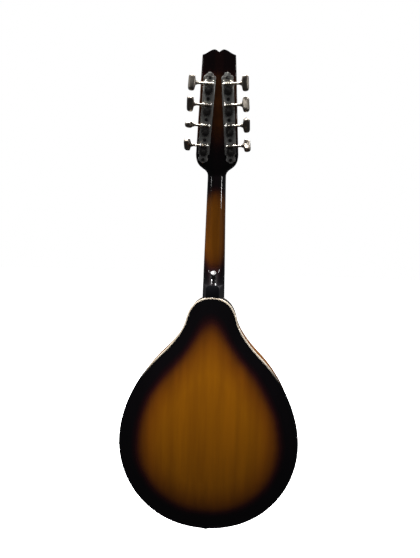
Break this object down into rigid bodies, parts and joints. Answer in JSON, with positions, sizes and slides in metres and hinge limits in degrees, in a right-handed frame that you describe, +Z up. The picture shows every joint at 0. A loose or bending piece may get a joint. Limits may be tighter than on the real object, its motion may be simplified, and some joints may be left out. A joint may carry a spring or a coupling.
{
  "type": "mandolin",
  "caption": "Teardrop mandolin with a carved, sound-holed body, a fretted neck, a leaning headstock with worm-geared tuners, an adjustable bridge and a covered tailpiece.",
  "frame": {"origin": "on the centre line where the fretboard's glue face meets the nut, between the arms of a hanger that carries the headstock's ears", "axes": "+Z up the headstock side of the instrument, +Y out of the back, +X towards the treble side"},
  "size_m": [0.254, 0.0964, 0.6737],
  "materials": {
    "back_wood": "gloss sunburst lacquer, amber centre to black edge",
    "top_wood": "gloss sunburst lacquer",
    "neck_wood": "gloss stain, amber middle and black ends",
    "inner_wood": "bare sanded wood",
    "binding": "cream gloss plastic",
    "black_wood": "satin black-stained hardwood",
    "black_lacquer": "gloss black",
    "bone": "polished bone",
    "pearl": "pearl inlay",
    "fret_metal": "polished nickel silver",
    "rod_steel": "plain steel",
    "brass": "polished brass",
    "nickel": "polished nickel plate",
    "gear_metal": "nickel plate, darker on the gear",
    "wound_string": "bronze winding",
    "plain_string": "bright steel wire"
  },
  "bodies": {
    "body": {"soundboard": "top_wood", "back_plate": "back_wood", "bass_rib": "back_wood", "treble_rib": "back_wood", "neck_block": "inner_wood", "tail_block": "inner_wood", "top_linings": "inner_wood", "back_linings": "inner_wood", "tone_bars": "inner_wood", "top_binding": "binding", "back_binding": "binding", "neck": "neck_wood", "heel_cap": "black_lacquer", "fretboard": "black_wood", "frets": "fret_metal", "position_dots": "pearl", "nut": "bone", "headstock_overlay": "black_lacquer", "truss_rod": "rod_steel", "truss_rod_cover": "black_lacquer", "truss_cover_screws": "nickel", "tuner_plate_bass": "nickel", "tuner_plate_treble": "nickel", "tuner_plate_screws": "nickel", "post_bushings": "nickel", "bridge_base": "black_wood", "bridge_posts": "brass", "tailpiece_base": "nickel", "tailpiece_screws": "nickel", "end_pin": "nickel", "heel_strap_button": "nickel", "heel_button_screw": "nickel", "string_course_g": "wound_string", "string_course_d": "wound_string", "string_course_a": "plain_string", "string_course_e": "plain_string"},
    "saddle": {"saddle": "black_wood"},
    "thumbwheel_bass": {"thumbwheel_bass": "brass"},
    "thumbwheel_treble": {"thumbwheel_treble": "brass"},
    "tailpiece_cover": {"tailpiece_cover": "nickel"},
    "truss_rod_nut": {"truss_rod_nut": "brass"},
    "tuner_knob_1": {"tuner_knob_1": "nickel"},
    "tuner_knob_2": {"tuner_knob_2": "nickel"},
    "tuner_knob_3": {"tuner_knob_3": "nickel"},
    "tuner_knob_4": {"tuner_knob_4": "nickel"},
    "tuner_knob_5": {"tuner_knob_5": "nickel"},
    "tuner_knob_6": {"tuner_knob_6": "nickel"},
    "tuner_knob_7": {"tuner_knob_7": "nickel"},
    "tuner_knob_8": {"tuner_knob_8": "nickel"},
    "string_post_1": {"string_post_1": "gear_metal"},
    "string_post_2": {"string_post_2": "gear_metal"},
    "string_post_3": {"string_post_3": "gear_metal"},
    "string_post_4": {"string_post_4": "gear_metal"},
    "string_post_5": {"string_post_5": "gear_metal"},
    "string_post_6": {"string_post_6": "gear_metal"},
    "string_post_7": {"string_post_7": "gear_metal"},
    "string_post_8": {"string_post_8": "gear_metal"}
  },
  "joints": [
    {"name": "knob_1_spin", "type": "hinge", "parent": "body", "child": "tuner_knob_1", "pos_m": [-0.01229, 0.05112, 0.11515], "axis": [-0.9972, 0.0207, 0.0721], "continuous": true},
    {"name": "post_1_turn", "type": "hinge", "parent": "body", "child": "string_post_1", "pos_m": [-0.0129, 0.04467, 0.10859], "axis": [0, -0.9613, 0.2756], "continuous": true},
    {"name": "knob_2_spin", "type": "hinge", "parent": "body", "child": "tuner_knob_2", "pos_m": [-0.01427, 0.04387, 0.08984], "axis": [-0.9972, 0.0207, 0.0721], "continuous": true},
    {"name": "post_2_turn", "type": "hinge", "parent": "body", "child": "string_post_2", "pos_m": [-0.01488, 0.03741, 0.08329], "axis": [0, -0.9613, 0.2756], "continuous": true},
    {"name": "knob_3_spin", "type": "hinge", "parent": "body", "child": "tuner_knob_3", "pos_m": [-0.01625, 0.03661, 0.06453], "axis": [-0.9972, 0.0207, 0.0721], "continuous": true},
    {"name": "post_3_turn", "type": "hinge", "parent": "body", "child": "string_post_3", "pos_m": [-0.01686, 0.03015, 0.05798], "axis": [0, -0.9613, 0.2756], "continuous": true},
    {"name": "knob_4_spin", "type": "hinge", "parent": "body", "child": "tuner_knob_4", "pos_m": [-0.01823, 0.02935, 0.03923], "axis": [-0.9972, 0.0207, 0.0721], "continuous": true},
    {"name": "post_4_turn", "type": "hinge", "parent": "body", "child": "string_post_4", "pos_m": [-0.01884, 0.0229, 0.03268], "axis": [0, -0.9613, 0.2756], "continuous": true},
    {"name": "knob_5_spin", "type": "hinge", "parent": "body", "child": "tuner_knob_5", "pos_m": [0.01229, 0.05112, 0.11515], "axis": [0.9972, 0.0207, 0.0721], "continuous": true},
    {"name": "post_5_turn", "type": "hinge", "parent": "body", "child": "string_post_5", "pos_m": [0.0129, 0.04467, 0.10859], "axis": [0, -0.9613, 0.2756], "continuous": true},
    {"name": "knob_6_spin", "type": "hinge", "parent": "body", "child": "tuner_knob_6", "pos_m": [0.01427, 0.04387, 0.08984], "axis": [0.9972, 0.0207, 0.0721], "continuous": true},
    {"name": "post_6_turn", "type": "hinge", "parent": "body", "child": "string_post_6", "pos_m": [0.01488, 0.03741, 0.08329], "axis": [0, -0.9613, 0.2756], "continuous": true},
    {"name": "knob_7_spin", "type": "hinge", "parent": "body", "child": "tuner_knob_7", "pos_m": [0.01625, 0.03661, 0.06453], "axis": [0.9972, 0.0207, 0.0721], "continuous": true},
    {"name": "post_7_turn", "type": "hinge", "parent": "body", "child": "string_post_7", "pos_m": [0.01686, 0.03015, 0.05798], "axis": [0, -0.9613, 0.2756], "continuous": true},
    {"name": "knob_8_spin", "type": "hinge", "parent": "body", "child": "tuner_knob_8", "pos_m": [0.01823, 0.02935, 0.03923], "axis": [0.9972, 0.0207, 0.0721], "continuous": true},
    {"name": "post_8_turn", "type": "hinge", "parent": "body", "child": "string_post_8", "pos_m": [0.01884, 0.0229, 0.03268], "axis": [0, -0.9613, 0.2756], "continuous": true},
    {"name": "saddle_lift", "type": "slide", "parent": "body", "child": "saddle", "axis": [0, -1, 0], "range_m": [-0.002, 0]},
    {"name": "thumbwheel_bass_turn", "type": "hinge", "parent": "saddle", "child": "thumbwheel_bass", "pos_m": [-0.038, -0.02928, -0.34121], "axis": [0, -1, 0], "range_deg": [-1029, 0]},
    {"name": "thumbwheel_treble_turn", "type": "hinge", "parent": "saddle", "child": "thumbwheel_treble", "pos_m": [0.038, -0.02928, -0.34121], "axis": [0, -1, 0], "range_deg": [-1029, 0]},
    {"name": "tailpiece_cover_slide", "type": "slide", "parent": "body", "child": "tailpiece_cover", "axis": [0, 0, -1], "range_m": [0, 0.05]},
    {"name": "truss_rod_nut_turn", "type": "hinge", "parent": "body", "child": "truss_rod_nut", "pos_m": [0, 0.00501, 0.01014], "axis": [0, 0.0785, 0.9969], "range_deg": [-180, 180]}
  ],
  "couplings": [
    {"joint": "post_1_turn", "follows": "knob_1_spin", "ratio": 0.071429},
    {"joint": "post_2_turn", "follows": "knob_2_spin", "ratio": 0.071429},
    {"joint": "post_3_turn", "follows": "knob_3_spin", "ratio": 0.071429},
    {"joint": "post_4_turn", "follows": "knob_4_spin", "ratio": 0.071429},
    {"joint": "post_5_turn", "follows": "knob_5_spin", "ratio": 0.071429},
    {"joint": "post_6_turn", "follows": "knob_6_spin", "ratio": 0.071429},
    {"joint": "post_7_turn", "follows": "knob_7_spin", "ratio": 0.071429},
    {"joint": "post_8_turn", "follows": "knob_8_spin", "ratio": 0.071429},
    {"joint": "thumbwheel_bass_turn", "follows": "saddle_lift", "rad_per_m": 8976},
    {"joint": "thumbwheel_treble_turn", "follows": "saddle_lift", "rad_per_m": 8976}
  ]
}
